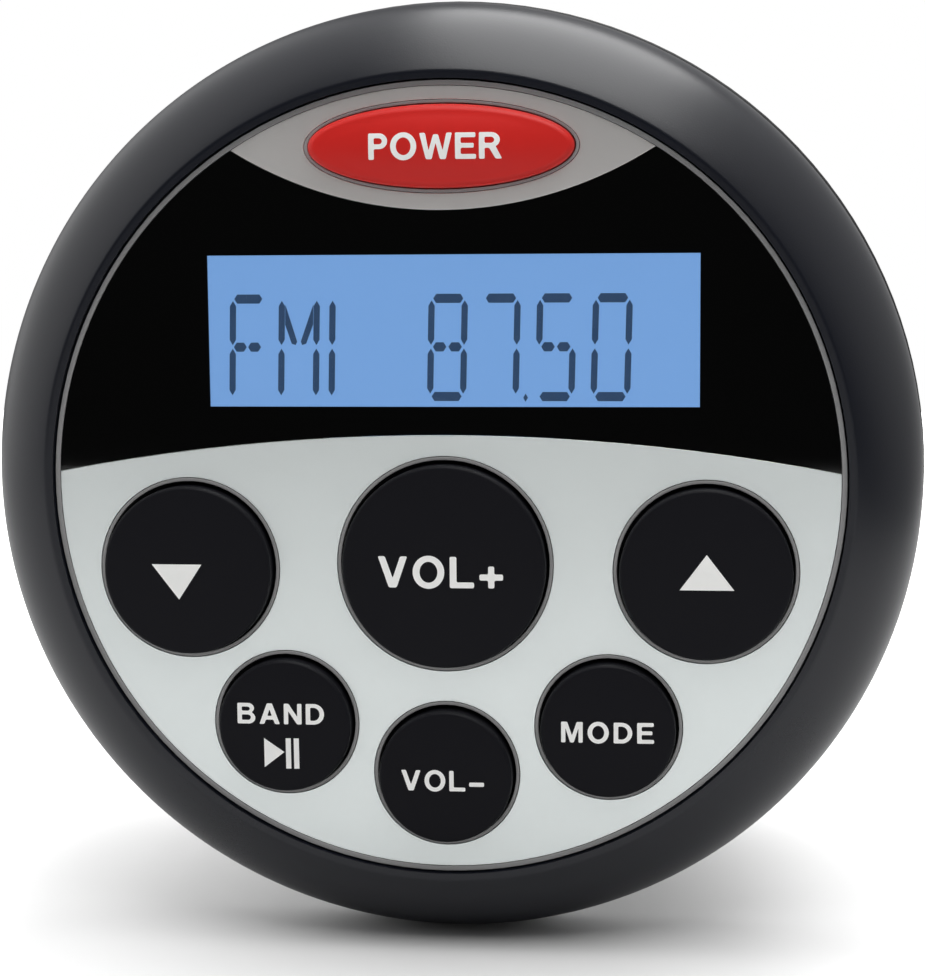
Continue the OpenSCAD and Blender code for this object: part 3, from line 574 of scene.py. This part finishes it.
def makeKey(node, body, name, material, s):
    low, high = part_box(node)
    middle = (low + high) / 2 - Vector((0, 0, s["drop"] * mm))
    loops, top = keyLoops(low, high, s)
    across, along, height = loops[0]
    deselectAll()
    bpy.ops.mesh.primitive_circle_add(vertices=s["segments"], radius=across * mm, fill_type="NGON",
                                      location=(middle.x, -height * mm, middle.z),
                                      rotation=(math.pi / 2, 0, 0))
    key = bpy.context.object
    bpy.ops.object.transform_apply(location=True, rotation=True, scale=True)
    bpy.ops.object.mode_set(mode="EDIT")
    bpy.ops.mesh.select_mode(type="EDGE")
    bpy.ops.mesh.select_all(action="SELECT")
    for wide, tall, level in loops[1:]:
        bpy.ops.mesh.extrude_edges_move(TRANSFORM_OT_translate={"value": (0, (height - level) * mm, 0)})
        bpy.ops.transform.resize(value=(wide / across, 1, tall / along),
                                 center_override=(middle.x, -level * mm, middle.z))
        across, along, height = wide, tall, level
    bpy.ops.mesh.extrude_edges_move(TRANSFORM_OT_translate={"value": (0, (height - top) * mm, 0)})
    bpy.ops.mesh.merge(type="CENTER")
    bpy.ops.mesh.select_mode(type="VERT")
    closeUp(key)
    return settle(key, name, material, body, [node])


keyCaps = {}
for key in ("seek_down", "volume_up", "seek_up", "band", "volume_down", "mode"):
    keyCaps[key] = makeKey(key + "_button", key + "_key", "cap_" + key, keyBlack, keyCap)
ovalCap = {**keyCap, "dome": 0.55, "round": 0.9, "shy": 0.0, "drop": 0.0}
keyCaps["power"] = makeKey("power_button", "power_key", "cap_power", keyRed, ovalCap)
print("keys raised:", len(keyCaps))


# Letters on a unit of cap height: closed outlines, then holes
def ellipse(centre, radii, steps=40):
    return arc(centre, radii, 0, 360, steps)[:-1]


stem = 0.215
bar = 0.185
letters = {
    "V": [[(0, 1), (0.225, 1), (0.47, 0.30), (0.715, 1), (0.94, 1), (0.595, 0), (0.345, 0)]],
    "O": [ellipse((0.505, 0.5), (0.505, 0.53)), ellipse((0.505, 0.5), (0.285, 0.335))],
    "L": [[(0, 0), (0, 1), (stem, 1), (stem, bar), (0.77, bar), (0.77, 0)]],
    "P": [[(0, 0), (0, 1)] + arc((0.42, 0.70), (0.32, 0.30), 90, -90, 14) + [(stem, 0.40), (stem, 0)],
          [(stem, 0.815)] + arc((0.41, 0.70), (0.125, 0.115), 90, -90, 10) + [(stem, 0.585)]],
    "W": [[(0, 1), (0.22, 1), (0.36, 0.33), (0.535, 0.94), (0.725, 0.94), (0.90, 0.33), (1.04, 1), (1.26, 1),
           (1.01, 0), (0.79, 0), (0.63, 0.62), (0.47, 0), (0.25, 0)]],
    "E": [[(0, 0), (0, 1), (0.78, 1), (0.78, 1 - bar), (stem, 1 - bar), (stem, 0.60), (0.72, 0.60),
           (0.72, 0.42), (stem, 0.42), (stem, bar), (0.80, bar), (0.80, 0)]],
    "R": [[(0, 0), (0, 1)] + arc((0.47, 0.715), (0.33, 0.285), 90, -60, 12) + [
           (0.88, 0), (0.63, 0), (0.39, 0.41), (stem, 0.41), (stem, 0)],
          [(stem, 0.825)] + arc((0.45, 0.71), (0.135, 0.115), 90, -90, 10) + [(stem, 0.595)]],
    "M": [[(0, 0), (0, 1), (0.29, 1), (0.515, 0.34), (0.74, 1), (1.03, 1), (1.03, 0), (0.825, 0),
           (0.825, 0.70), (0.60, 0), (0.43, 0), (0.205, 0.70), (0.205, 0)]],
    "D": [[(0, 0), (0, 1)] + arc((0.38, 0.5), (0.50, 0.5), 90, -90, 18),
          [(stem, 0.815)] + arc((0.38, 0.5), (0.285, 0.315), 90, -90, 14) + [(stem, 0.185)]],
    "B": [[(0, 0), (0, 1)] + arc((0.52, 0.755), (0.29, 0.245), 90, -50, 10) +
          arc((0.53, 0.285), (0.34, 0.285), 55, -90, 14),
          [(stem, 0.825)] + arc((0.49, 0.725), (0.115, 0.10), 90, -90, 8) + [(stem, 0.625)],
          [(stem, 0.44)] + arc((0.51, 0.3075), (0.14, 0.1325), 90, -90, 8) + [(stem, 0.175)]],
    "A": [[(0, 0), (0.37, 1), (0.62, 1), (0.99, 0), (0.755, 0), (0.675, 0.215), (0.315, 0.215), (0.235, 0)],
          [(0.385, 0.395), (0.605, 0.395), (0.495, 0.72)]],
    "N": [[(0, 0), (0, 1), (0.225, 1), (0.645, 0.36), (0.645, 1), (0.856, 1), (0.856, 0), (0.635, 0),
           (0.211, 0.64), (0.211, 0)]],
    "+": [[(0, 0.25), (0.275, 0.25), (0.275, 0), (0.47, 0), (0.47, 0.25), (0.745, 0.25), (0.745, 0.445),
           (0.47, 0.445), (0.47, 0.70), (0.275, 0.70), (0.275, 0.445), (0, 0.445)]],
    "-": [[(0, 0.24), (0, 0.44), (0.715, 0.44), (0.715, 0.24)]],
}
letterWidth = {sign: max(x for x, y in shapes[0]) for sign, shapes in letters.items()}

# Words and signs: middle, width and cap height in mm on the face, as printed on each key
legends = {
    "power": {"word": "POWER", "at": (-0.41, 35.54), "wide": 13.98, "tall": 2.72},
    "volume_up": {"word": "VOL+", "at": (-0.29, -9.21), "wide": 13.37, "tall": 3.36},
    "volume_down": {"word": "VOL-", "at": (-0.27, -31.90), "wide": 8.95, "tall": 2.24},
    "mode": {"word": "MODE", "at": (17.43, -26.31), "wide": 9.87, "tall": 2.24},
    "band": {"word": "BAND", "at": (-17.79, -24.84), "wide": 9.48, "tall": 2.26},
}
signs = {
    "seek_down": [[(-31.54, -8.62), (-26.09, -8.62), (-28.62, -12.45)]],
    "seek_up": [[(25.00, -10.87), (30.72, -10.87), (27.82, -7.10)]],
    "band": [[(-19.65, -27.55), (-19.65, -30.77), (-17.45, -29.05)],
             [(-17.28, -27.52), (-17.28, -30.88), (-16.72, -30.88), (-16.72, -27.52)],
             [(-16.40, -27.52), (-16.40, -30.88), (-15.84, -30.88), (-15.84, -27.52)]],
}


letterCorner = {"sharp": 140, "round": 0.05, "most": 0.4}    # degrees, of the cap height, of a side
legendPrint = {"start": 20.0, "cuts": 2, "over": 0.03, "thick": 0.06}    # mm


def easeCorners(points, s):
    # each sharp corner becomes a short curve
    eased = []
    for before, here, after in zip(points[-1:] + points, points, points[1:] + points[:1]):
        here = Vector(here)
        back = Vector(before) - here
        on = Vector(after) - here
        if back.angle(on) > math.radians(s["sharp"]):
            eased.append(here)
            continue
        near = here + back * min(s["round"] / back.length, s["most"])
        far = here + on * min(s["round"] / on.length, s["most"])
        eased += [near, (near + 2 * here + far) / 4, far]
    return eased


def wordOutlines(s):
    spare = s["wide"] - s["tall"] * sum(letterWidth[sign] for sign in s["word"])
    gap = spare / (len(s["word"]) - 1)
    x = s["at"][0] - s["wide"] / 2
    base = s["at"][1] - s["tall"] / 2
    outlines = []
    for sign in s["word"]:
        for shape in letters[sign]:
            corners = easeCorners(shape, letterCorner)
            outlines.append([(x + px * s["tall"], base + py * s["tall"]) for px, py in corners])
        x += letterWidth[sign] * s["tall"] + gap
    return outlines


def makeLegend(key, outlines, cap, s):
    # filled flat in front of the key, cut finer, then laid on its dome
    front = -s["start"] * mm
    legend = drawOutlines([[(x * mm, front, z * mm) for x, z in outline] for outline in outlines])
    bpy.ops.mesh.fill(use_beauty=True)
    bpy.ops.mesh.subdivide(number_cuts=s["cuts"])
    bpy.ops.mesh.normals_make_consistent(inside=False)
    bpy.ops.object.mode_set(mode="OBJECT")
    bpy.ops.object.modifier_add(type="SHRINKWRAP")
    wrap = legend.modifiers[-1]
    wrap.target = cap
    wrap.wrap_method = "PROJECT"
    wrap.use_project_y = True
    wrap.use_negative_direction = True
    wrap.use_positive_direction = True
    wrap.offset = s["over"] * mm
    bpy.ops.object.modifier_add(type="SOLIDIFY")
    legend.modifiers[-1].thickness = s["thick"] * mm
    applyModifiers(legend)
    settle(legend, "legend_" + key, legendWhite, key + "_key")


for key in keyCaps:
    outlines = list(signs.get(key, []))
    if key in legends:
        outlines += wordOutlines(legends[key])
    makeLegend(key, outlines, keyCaps[key], legendPrint)
print("legends laid on")


# Lit display: bars with pointed ends, in mm on the face
displayBars = {
    "level": 13.78,                     # height over the seat, between glass and lens
    "thin": 0.67, "thick": 0.97,        # upright and level bars
    "middle": 14.56, "top": 19.68, "bottom": 9.30,
    "upper": (14.77, 19.48), "lower": (9.60, 14.39),
    "half": 1.76, "long": 3.2, "short": 1.44, "shortFrom": (-1.55, 0.1),
    "blunt": 0.32, "pointed": 0.85,     # ends of level and upright bars, as shares of their width
    "digits": {0.575: "abcdefg", 6.16: "abc", 12.06: "acdfg", 17.92: "abcdef"},
    "uprights": (-22.52, -17.23, -13.47, -11.77),               # of F, M and 1
    "under": 0.2,                       # how much lower these end
    "branches": ((-22.38, -19.35, "top"), (-22.40, -21.00, "middle"), (-20.85, -19.45, "middle")),  # of F
    "dot": (8.98, 9.18), "dotHalf": 0.43, "dotWide": 0.5,
    "slant": ((-16.86, 19.10), (-15.55, 15.15), (-15.70, 14.78), (-16.13, 14.92), (-16.86, 16.95)),
    "mirror": -30.70,                   # slanted bars of the M, the second one mirrored
    "lean": 0.027,                      # all signs lean a little to the right
    "print": 0.05,
}


def barOutline(start, end, width, s):
    # blunt ends on level bars, long points on upright ones
    start = Vector(start)
    end = Vector(end)
    way = (end - start).normalized()
    point = way * width * (s["blunt"] if abs(way.x) > abs(way.y) else s["pointed"])
    across = Vector((-way.y, way.x)) * width / 2
    return [start, start + point + across, end - point + across, end, end - point - across,
            start + point - across]


def digitBars(x, lit, s):
    right = x + s["half"]
    left = x - s["half"]
    low, high = s["lower"], s["upper"]
    reach = s["long"] / 2
    bars = {
        "a": [((x - reach, s["top"]), (x + reach, s["top"]), s["thick"])],
        "d": [((x - reach, s["bottom"]), (x + reach, s["bottom"]), s["thick"])],
        "b": [((right, high[0]), (right, high[1]), s["thin"])],
        "c": [((right, low[0]), (right, low[1]), s["thin"])],
        "e": [((left, low[0]), (left, low[1]), s["thin"])],
        "f": [((left, high[0]), (left, high[1]), s["thin"])],
        "g": [((x + start, s["middle"]), (x + start + s["short"], s["middle"]), s["thick"])
              for start in s["shortFrom"]],
    }
    return [bar for name in lit for bar in bars[name]]


def makeSegments(s):
    low, high = s["lower"], s["upper"]
    bars = []
    for x, lit in s["digits"].items():
        bars += digitBars(x, lit, s)
    for x in s["uprights"]:
        bars += [((x, high[0]), (x, high[1]), s["thin"]), ((x, low[0] - s["under"]), (x, low[1]), s["thin"])]
    bars += [((left, s[row]), (right, s[row]), s["thick"]) for left, right, row in s["branches"]]
    dot = Vector(s["dot"])
    dotHalf = Vector((0, s["dotHalf"]))
    bars.append((dot - dotHalf, dot + dotHalf, s["dotWide"]))
    outlines = [barOutline(*bar, s) for bar in bars]
    outlines += [[Vector(p) for p in s["slant"]], [Vector((s["mirror"] - x, y)) for x, y in s["slant"]]]
    level = -s["level"] * mm
    leaning = [[(p.x + (p.y - s["top"]) * s["lean"], p.y) for p in outline] for outline in outlines]
    segments = drawOutlines([[(x * mm, level, z * mm) for x, z in outline] for outline in leaning])
    bpy.ops.mesh.fill(use_beauty=True)
    bpy.ops.mesh.normals_make_consistent(inside=False)
    bpy.ops.object.mode_set(mode="OBJECT")
    bpy.ops.object.modifier_add(type="SOLIDIFY")
    segments.modifiers[-1].thickness = s["print"] * mm
    applyModifiers(segments)
    settle(segments, "lcd_segments", segmentNavy, "chassis")


makeSegments(displayBars)
print("display lit")


# Copies of plain solids with their edges eased, as far as their shortest edges let a bevel go
bodyOf = {node: body for body, nodes in frame["record"]["behaviour"]["bodies"].items() for node in nodes}
flatWithin = 0.3        # degrees, faces closer than this become one


def easeEdges(piece, edge, steps, sharp):
    # bevelled edges, with the flat faces keeping their own normals
    bpy.ops.object.shade_smooth_by_angle(angle=math.radians(sharp))
    bpy.ops.object.modifier_add(type="BEVEL")
    ease = piece.modifiers[-1]
    ease.width = edge * mm
    ease.segments = steps
    ease.limit_method = "ANGLE"
    ease.angle_limit = math.radians(sharp)
    bpy.ops.object.modifier_add(type="WEIGHTED_NORMAL")
    piece.modifiers[-1].keep_sharp = False
    piece.modifiers[-1].weight = 100
    applyModifiers(piece)


def easedCopy(node, name, edge, steps=3, sharp=30):
    deselectAll()
    source = frame["nodes"][node]
    piece = source.copy()
    piece.data = source.data.copy()
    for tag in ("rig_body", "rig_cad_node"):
        del piece[tag]
    scene.collection.objects.link(piece)
    piece.select_set(True)
    bpy.context.view_layer.objects.active = piece
    bpy.ops.mesh.customdata_custom_splitnormals_clear()
    bpy.ops.object.mode_set(mode="EDIT")
    bpy.ops.mesh.select_all(action="SELECT")
    bpy.ops.mesh.remove_doubles(threshold=joinWithin)
    bpy.ops.mesh.dissolve_limited(angle_limit=math.radians(flatWithin))
    bpy.ops.object.mode_set(mode="OBJECT")
    easeEdges(piece, edge, steps, sharp)
    return settle(piece, name, nodeFinish[node], bodyOf[node], [node])


easedEdges = {
    "front_case": ("carrier_frame", 0.07), "lower_fascia": ("face_lower", 0.05),
    "upper_fascia": ("face_upper", 0.05), "flange_gasket": ("gasket_flange", 0.4),
    "rear_case": ("can_rear", 0.5), "harness_socket": ("socket_harness", 0.3),
    "aerial_socket": ("socket_aerial", 0.35), "clamp_washers": ("washers_clamp", 0.2),
    "left_thumb_nut": ("nut_left", 0.35), "right_thumb_nut": ("nut_right", 0.35),
    "case_screws": ("screws_case", 0.15), "harness_pins": ("pins_harness", 0.12),
}
for node, (name, edge) in easedEdges.items():
    piece = easedCopy(node, name, edge)
    print(name, len(piece.data.polygons), "faces")


# Clamp strap: bent from one strip, with rounded bends and two stud holes
strap = {
    "bendIn": 0.8, "thick": 2.0, "leg": 41.0, "foot": 48.5, "front": 12.0, "back": 57.0,
    "wide": 16.0, "hole": 2.7, "holeAt": 26.0, "edge": 0.15, "footRound": 2.5,
    "outerSteps": 8, "innerSteps": 6, "footSteps": 8, "edgeSteps": 2, "sharp": 40,
    "drillDeep": 6.0, "drillSides": 64,
}


def strapHalf(s):
    inner = s["bendIn"]
    outer = inner + s["thick"]
    backFront = s["back"] - s["thick"]
    topMiddle = (s["leg"] - inner, backFront - inner)
    footMiddle = (s["leg"] + outer, s["front"] + outer)
    half = arc(topMiddle, (outer, outer), 90, 0, s["outerSteps"])
    half += arc(footMiddle, (inner, inner), 180, 270, s["innerSteps"])
    half += [(s["foot"], s["front"] + s["thick"]), (s["foot"], s["front"])]
    half += arc(footMiddle, (outer, outer), 270, 180, s["outerSteps"])
    half += arc(topMiddle, (inner, inner), 0, 90, s["innerSteps"])
    return half


def drillHole(piece, place, s):
    deselectAll()
    bpy.ops.mesh.primitive_cylinder_add(vertices=s["drillSides"], radius=s["hole"] * mm,
                                        depth=s["drillDeep"] * mm, location=place,
                                        rotation=(math.pi / 2, 0, 0))
    drill = bpy.context.object
    deselectAll()
    piece.select_set(True)
    bpy.context.view_layer.objects.active = piece
    bpy.ops.object.modifier_add(type="BOOLEAN")
    cut = piece.modifiers[-1]
    cut.object = drill
    cut.operation = "DIFFERENCE"
    cut.solver = "EXACT"
    bpy.ops.object.modifier_apply(modifier=cut.name)
    bpy.data.objects.remove(drill)


def makeStrap(s):
    right = strapHalf(s)
    left = [(-x, y) for x, y in reversed(right)]
    bottom = -s["wide"] / 2 * mm
    piece = drawOutlines([[(x * mm, y * mm, bottom) for x, y in right + left]])
    bpy.ops.mesh.edge_face_add()
    bpy.ops.mesh.extrude_region_move(TRANSFORM_OT_translate={"value": (0, 0, s["wide"] * mm)})
    bpy.ops.mesh.select_all(action="SELECT")
    bpy.ops.mesh.normals_make_consistent(inside=False)
    bpy.ops.mesh.select_all(action="DESELECT")
    bpy.ops.mesh.select_mode(type="EDGE")
    bpy.ops.object.mode_set(mode="OBJECT")
    for edge in piece.data.edges:       # corner edges of the two feet
        ends = [piece.data.vertices[v].co for v in edge.vertices]
        onTip = all(abs(abs(e.x) - s["foot"] * mm) < joinWithin for e in ends)
        edge.select = onTip and abs(ends[0].z - ends[1].z) < joinWithin
    bpy.ops.object.mode_set(mode="EDIT")
    bpy.ops.mesh.bevel(offset=s["footRound"] * mm, segments=s["footSteps"], affect="EDGES")
    bpy.ops.mesh.select_mode(type="VERT")
    bpy.ops.mesh.select_all(action="SELECT")
    bpy.ops.mesh.remove_doubles(threshold=joinWithin)
    bpy.ops.mesh.normals_make_consistent(inside=False)
    bpy.ops.object.mode_set(mode="OBJECT")
    for side in (-1, 1):
        drillHole(piece, (side * s["holeAt"] * mm, (s["back"] - s["thick"] / 2) * mm, 0), s)
    easeEdges(piece, s["edge"], s["edgeSteps"], s["sharp"])
    settle(piece, "strap_clamp", strapSteel, "clamp", ["clamp_strap"])


makeStrap(strap)
print("strap bent")


# Studs: a core with chamfered ends and one closed thread ridge screwed round it
studThread = {
    "major": 2.5, "minor": 2.12, "pitch": 0.8, "chamfer": 0.5, "plain": 0.6,
    "sink": 0.1, "ridge": (0.02, 0.34, 0.44, 0.76),         # the ridge's foot in the core, and its points
    "steps": 40, "sides": 64, "chamferSteps": 2, "sharp": 40,
}


def makeThread(s, start, length):
    # a ridge of four points, its foot just inside the core
    foot = s["minor"] - s["sink"]
    radii = (foot, s["major"], s["major"], foot)
    thread = drawOutlines([[(r * mm, start + y * mm, 0) for r, y in zip(radii, s["ridge"])]])
    bpy.ops.object.mode_set(mode="OBJECT")
    bpy.ops.object.modifier_add(type="SCREW")
    screw = thread.modifiers[-1]
    screw.axis = "Y"
    screw.screw_offset = s["pitch"] * mm
    screw.iterations = math.floor(length / (s["pitch"] * mm)) - 1
    screw.steps = s["steps"]
    screw.render_steps = s["steps"]
    applyModifiers(thread)
    bpy.ops.object.mode_set(mode="EDIT")
    bpy.ops.mesh.select_all(action="DESELECT")
    bpy.ops.mesh.select_mode(type="EDGE")
    bpy.ops.mesh.select_non_manifold()
    bpy.ops.mesh.edge_face_add()
    bpy.ops.mesh.select_mode(type="VERT")
    closeUp(thread, s["sharp"])
    return thread


def makeStud(s, low, high, name, x):
    thread = makeThread(s, low.y + s["plain"] * mm, high.y - low.y - 2 * s["plain"] * mm)
    deselectAll()
    bpy.ops.mesh.primitive_cylinder_add(vertices=s["sides"], radius=s["minor"] * mm, depth=high.y - low.y,
                                        location=(0, (low.y + high.y) / 2, 0), rotation=(math.pi / 2, 0, 0))
    core = bpy.context.object
    bpy.ops.object.transform_apply(location=True, rotation=True, scale=True)
    easeEdges(core, s["chamfer"], s["chamferSteps"], s["sharp"])
    thread.select_set(True)
    bpy.ops.object.join()
    core.location = (x, 0, 0)
    bpy.ops.object.transform_apply(location=True, rotation=True, scale=True)
    settle(core, name, brightSteel, "chassis", ["mounting_studs"])


def makeStuds(s):
    low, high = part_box("mounting_studs")
    spread = (high.x - low.x) / 2 - s["major"] * mm
    for side, name in ((-1, "stud_left"), (1, "stud_right")):
        makeStud(s, low, high, name, (low.x + high.x) / 2 + side * spread)


makeStuds(studThread)
print("studs threaded")
